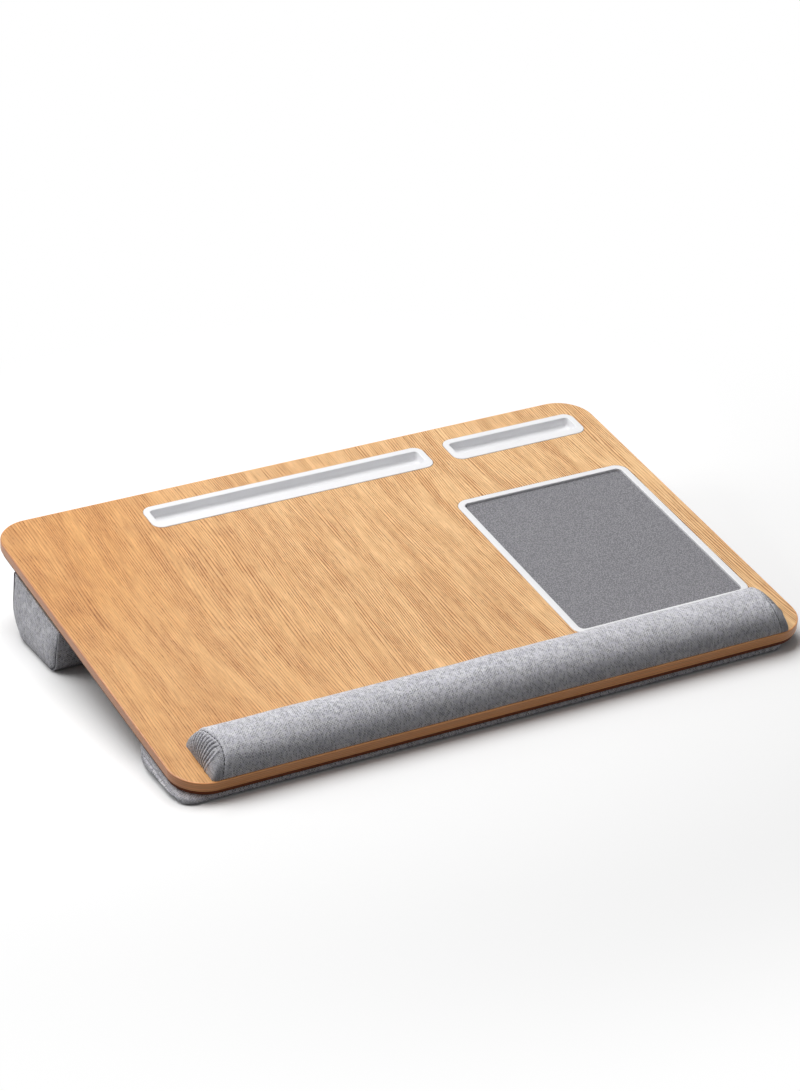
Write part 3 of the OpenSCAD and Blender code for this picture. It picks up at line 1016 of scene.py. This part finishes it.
frontCushion = {
    "frontY": layerY(-0.190, 0.012), "backY": layerY(-0.1035, 0.012), "toe": 0.004, "heel": 0.009,
    "lean": 0.0, "swell": 0.0005, "corners": (0.014, 0.014, 0.005), "topRound": 0.0035, "width": 0.53,
    "middle": -0.010, "columns": 81, "fineColumns": 161, "endSteps": 12, "spacing": 0.006,
    "fineRows": 190, "cap": 0.0012, "crown": 0.0018, "soft": 0.004, "groove": 0.0, "lumps": 0.0005,
    "seam": 0.3, "easing": (),
}
rearCushion = {
    "frontY": layerY(0.0455, 0.012), "backY": layerY(0.1395, 0.012), "toe": 0.014, "heel": 0.0245,
    "lean": 0.010, "swell": 0.008, "corners": (0.0013, 0.0013, 0.0013), "topRound": 0.0, "width": 0.55,
    "middle": 0.0, "columns": 61, "fineColumns": 121, "endSteps": 4, "spacing": 0.0075,
    "fineRows": 170, "cap": 0.0035, "crown": 0.0034, "soft": 0.0045, "groove": 0.0012, "lumps": 0.0010,
    "seam": 1.0, "easing": (0.07, 0.2, 0.45),
}
sewn = {
    "lumpSize": 0.05, "edgeShare": 0.06, "grooveWidth": 0.0011, "seamShadeWidth": 0.0009,
    "heldBelow": 0.0006, "fillingColumns": 41, "fillingSpacing": 0.02, "fillingSteps": 5,
    # the end panels' rings, as distances from the seam
    "rings": (0, 0.0004, 0.0008, 0.0014, 0.0024, 0.004, 0.0065, 0.010), "innerFrom": 0.015, "innerRings": 16,
}


def arc(low, high, count, centre, radii, lowest=None):
    # points of an arc; lowest keeps them over the floor
    points = []
    for a in np.linspace(low, high, count):
        z = centre[1] + radii[1] * math.sin(a)
        points.append((centre[0] + radii[0] * math.cos(a), z if lowest is None else max(lowest, z)))
    return points


def cushionSection(form, wall, drop, count):
    # outline across the desk, from the back's top down, along the floor and up the front;
    # with a rounded top it starts and ends in the middle of the top
    toe, heel = form["toe"] - wall, form["heel"] - wall
    toeY = form["frontY"] + form["lean"] + form["toe"]
    heelY = form["backY"] + form["swell"] - form["heel"]
    front, back = form["frontY"] + wall, form["backY"] - wall
    radius = max(form["topRound"] - wall, 0.0)
    atBack = min(radius, layerZ(back, drop) * 0.4)
    atFront = min(radius, layerZ(front, drop) * 0.35)
    backTop = layerZ(back - atBack, drop) - atBack
    frontTop = layerZ(front + atFront, drop) - atFront
    quarter = math.pi / 2
    points = arc(quarter, 0, 9, (back - atBack, backTop), (atBack, atBack))
    points += arc(0, -quarter, 25, (heelY, form["heel"] - layers["press"]), (heel, heel), wall)
    points += arc(-quarter, -math.pi, 25, (toeY, form["toe"] - layers["press"]), (toe, toe), wall)
    points += arc(math.pi, quarter, 9, (front + atFront, frontTop), (atFront, atFront))
    if form["topRound"]:
        middle = ((front + back) / 2, layerZ((front + back) / 2, drop))
        points = [middle] + points + [middle]
    curve = evenly(np.array(points), count * 6)
    for _ in range(24):   # eases the meeting points of arcs and straights
        curve[1:-1] = (curve[:-2] + 2 * curve[1:-1] + curve[2:]) / 4
    curve[:, 1] = np.maximum(curve[:, 1], wall)
    return evenly(curve, count)


def cushionRing(section, x, frontIn, backIn, lift, lowered, wall, drop):
    front, back = section[:, 0].min(), section[:, 0].max()
    shrink = (back - front - frontIn - backIn) / (back - front)
    ring = []
    for py, pz in section:
        y = front + frontIn + (py - front) * shrink
        share = (layerZ(py, drop) - pz) / (layerZ(py, drop) - wall)
        height = layerZ(y, drop) - wall
        top = layerZ(y, drop) - min(lowered, 0.35 * height)
        bottom = wall + min(lift, 0.45 * height)
        ring.append((x, y, top - share * (top - bottom)))
    return ring


def cushionGrid(form, wall, drop, count, spacing, endSteps):
    length = form["width"] - 2 * wall
    corners = [max(c - wall, 0.0) for c in (*form["corners"], form["topRound"])]
    section = cushionSection(form, wall, drop, count)
    rows = []
    for s in rowPlaces(length, max(corners), spacing, endSteps, form["easing"]):
        insets = [cornerIn(min(s, length - s), c) for c in corners]
        rows.append(cushionRing(section, form["middle"] + s - length / 2, *insets, wall, drop))
    return np.array(rows)


def endPanel(ring, side, form):
    # the closed end: from the last ring in to its middle, or to the middle of its open top, crowned
    middle = ring.mean(axis=0) if form["topRound"] else (ring[0] + ring[-1]) / 2
    reach = np.linalg.norm(ring - middle, axis=1)
    inner = np.linspace(sewn["innerFrom"], reach.mean(), sewn["innerRings"])
    distances = np.r_[sewn["rings"], inner]
    distances = distances[distances <= reach.mean()]
    grid = []
    for distance in distances:
        share = distance / distances[-1]
        row = ring + (middle - ring) * share
        below = 1.0
        if not form["topRound"]:
            below = 0.25 + 0.75 * smooth(row[:, 2], middle[2] + 0.001, middle[2] * 0.35)
        inwards = share * (reach + (reach.mean() - reach) * share)
        row[:, 0] += side * form["crown"] * (1 - np.exp(-inwards / form["soft"])) * below
        grid.append(row)
    return np.array(grid), distances


def makeCushion(name, form, node, filling):
    drop = layers["clothTop"]
    start = cushionGrid(form, 0.0, drop, form["columns"], form["spacing"], form["endSteps"])
    held = (start[..., 2] < sewn["heldBelow"]) | (gridNormals(start)[..., 2] > 0.7)
    held[:, :1] = held[:, -1:] = True
    held[:1] = held[-1:] = True
    coarse = inflate(start, held, form["cap"])
    coarse[..., 2] = np.maximum(coarse[..., 2], 0.0)
    fine = refined(coarse, np.linspace(0, len(coarse) - 1, form["fineRows"]), form["fineColumns"])
    along, around = clothMetres(fine, form["fineColumns"] // 3)
    share = around / around[0, -1]
    edge = smooth(share, 0.0, sewn["edgeShare"]) * smooth(share, 1.0, 1 - sewn["edgeShare"])
    fromEnd = np.minimum(along, along[-1, 0] - along)
    normal = gridNormals(fine)
    # the lumps and the seam's groove fade out towards the floor
    push = lumps(fine, sewn["lumpSize"], form["lumps"], 5.0) * edge * smooth(fromEnd, 0.0, 0.01)
    push *= smooth(normal[..., 2], 0.7, 0.2) * smooth(fine[..., 2], 0.001, 0.008)
    push -= form["groove"] * bell(fromEnd, sewn["grooveWidth"]) * smooth(fine[..., 2], 0.0015, 0.006)
    fine = fine + normal * push[..., None]
    fine[..., 2] = np.maximum(fine[..., 2], 0.0)
    # painted shade along the seams at both ends; the form's seam number says how dark
    creaseShade = bell(fromEnd, sewn["seamShadeWidth"]) * form["seam"]
    panels = [(fine, np.stack([along, around], axis=-1), creaseShade)]
    for side, row in ((-1, 0), (1, -1)):
        grid, distances = endPanel(fine[row], side, form)
        grid[..., 2] = np.maximum(grid[..., 2], 0.0)
        flat = np.stack([grid[..., 1] * side, grid[..., 2]], axis=-1)
        # painted shade along the end panels' seams
        creaseShade = bell(distances, sewn["grooveWidth"])[:, None] * form["seam"] + grid[..., 0] * 0
        panels.append((grid[:, ::side], flat[:, ::side], creaseShade))
    piece = panelMesh(name, panels)
    thicken(piece, layers["cloth"])
    finishPiece(piece, heather, "cushion_base", "heather_fabric", node, angle=60)

    wall = layers["cloth"] + layers["fillingIn"]
    under = drop + (wall if form["topRound"] else 0.0)
    grid = (sewn["fillingColumns"], sewn["fillingSpacing"], sewn["fillingSteps"])
    stuffing = closedMesh(name.replace("Cover", "Filling"), cushionGrid(form, wall, under, *grid))
    finishPiece(stuffing, foam, "cushion_base", "padding", filling, angle=50)


makeCushion("frontCushionCover", frontCushion, "front_cushion_cover", "front_cushion_filling")
makeCushion("rearCushionCover", rearCushion, "rear_cushion_cover", "rear_cushion_filling")

backings = {
    "frontCushionBacking": {
        "front": -0.190, "depth": 0.0865, "corner": 0.014, "inset": 0.003, "form": frontCushion,
        "node": "front_cushion_backing",
    },
    "rearCushionBacking": {
        "front": 0.0455, "depth": 0.094, "corner": 0.006, "inset": 0.001, "form": rearCushion,
        "node": "rear_cushion_backing",
    },
}
for name, part in backings.items():
    width = part["form"]["width"] - 2 * layers["baseSetback"] - 2 * part["corner"]
    size = (width, part["depth"] - 2 * part["inset"])
    centre = (part["form"]["middle"], part["front"] + part["depth"] / 2)
    cloth = startBlock(name, *size, part["corner"], centre, -layers["clothTop"], -layers["baseUnder"], 8)
    selectAll()
    bpy.ops.uv.cube_project(cube_size=1.0)
    layOnBoard(cloth, backingCloth, "cushion_base", "backing_cloth", part["node"])
print("cushions made")


# floor, light and camera

stage = {
    "size": 12.0, "ground": (0.985, 0.985, 0.985, 1), "bounce": (0.2, 0.2, 0.2, 1), "near": 0.40, "far": 0.70,
    "white": (1, 1, 1, 1), "sky": 0.17,
}
lamps = {
    "keyLamp": {"place": (-0.3, 0.7, 2.1), "target": (0, 0, 0.03), "size": (2.2, 1.6), "power": 54},
    "leftLamp": {"place": (-2.3, 1.3, 1.2), "target": (0, 0, 0.05), "size": (1.4, 1.2), "power": 16},
}
shot = {"place": (-1.123268, -2.198530, 1.240102), "turn": (64.70728, 0.90575, -27.56607), "lens": 112.3693}


def seenDirectly():
    # 1 for rays from the camera, also off gloss or through glass, else 0
    path = put("LightPath").outputs
    bent = calc("MAXIMUM", path["Is Glossy Ray"], path["Is Transmission Ray"])
    return calc("MAXIMUM", path["Is Camera Ray"], bent)


def mixedShader(share, first, second):
    return put("MixShader", {0: share, 1: first, 2: second}).outputs[0]


def makeFloor():
    clearSelection()
    bpy.ops.mesh.primitive_plane_add(size=stage["size"], location=(0, 0, 0))
    floor = bpy.context.object
    floor.name = "floor"
    material = bpy.data.materials.new("paleFloor")
    material.use_nodes = True
    startTree(material).nodes.clear()
    point = put("TexCoord").outputs["Object"]
    away = put("VectorMath", {0: point}, operation="LENGTH").outputs["Value"]
    fade = ranged(away, stage["near"], stage["far"])
    shadowed = put("BsdfDiffuse", {"Color": stage["ground"]}).outputs[0]
    white = put("Emission", {"Color": stage["white"], "Strength": 1.0}).outputs[0]
    plain = put("BsdfDiffuse", {"Color": stage["bounce"]}).outputs[0]
    above = mixedShader(seenDirectly(), plain, mixedShader(fade, shadowed, white))
    # from below the floor can be seen through
    below = put("NewGeometry").outputs["Backfacing"]
    shown = mixedShader(below, above, put("BsdfTransparent").outputs[0])
    put("OutputMaterial", {0: shown})
    floor.data.materials.append(material)


def makeWorld():
    world = bpy.data.worlds.new("studio")
    scene.world = world
    world.use_nodes = True
    startTree(world).nodes.clear()
    level = ranged(seenDirectly(), 0, 1, stage["sky"], 1.0)
    sky = put("Background", {"Color": stage["white"], "Strength": level}).outputs[0]
    put("OutputWorld", {0: sky})


def makeLamp(name, place, target, size, power):
    data = bpy.data.lights.new(name, "AREA")
    data.shape = "RECTANGLE"
    data.size, data.size_y = size
    data.energy = power
    lamp = addObject(name, data)
    lamp.location = place
    lamp.rotation_euler = (Vector(target) - Vector(place)).to_track_quat("-Z", "Y").to_euler()


def makeCamera():
    data = bpy.data.cameras.new("camera")
    data.lens = shot["lens"]
    data.clip_end = 50
    camera = addObject("camera", data)
    camera.location = shot["place"]
    camera.rotation_euler = [math.radians(a) for a in shot["turn"]]
    scene.camera = camera


makeFloor()
makeWorld()
for name, lamp in lamps.items():
    makeLamp(name, **lamp)
makeCamera()
scene.view_settings.view_transform = "Standard"
print("floor, light and camera made")

clearSelection()
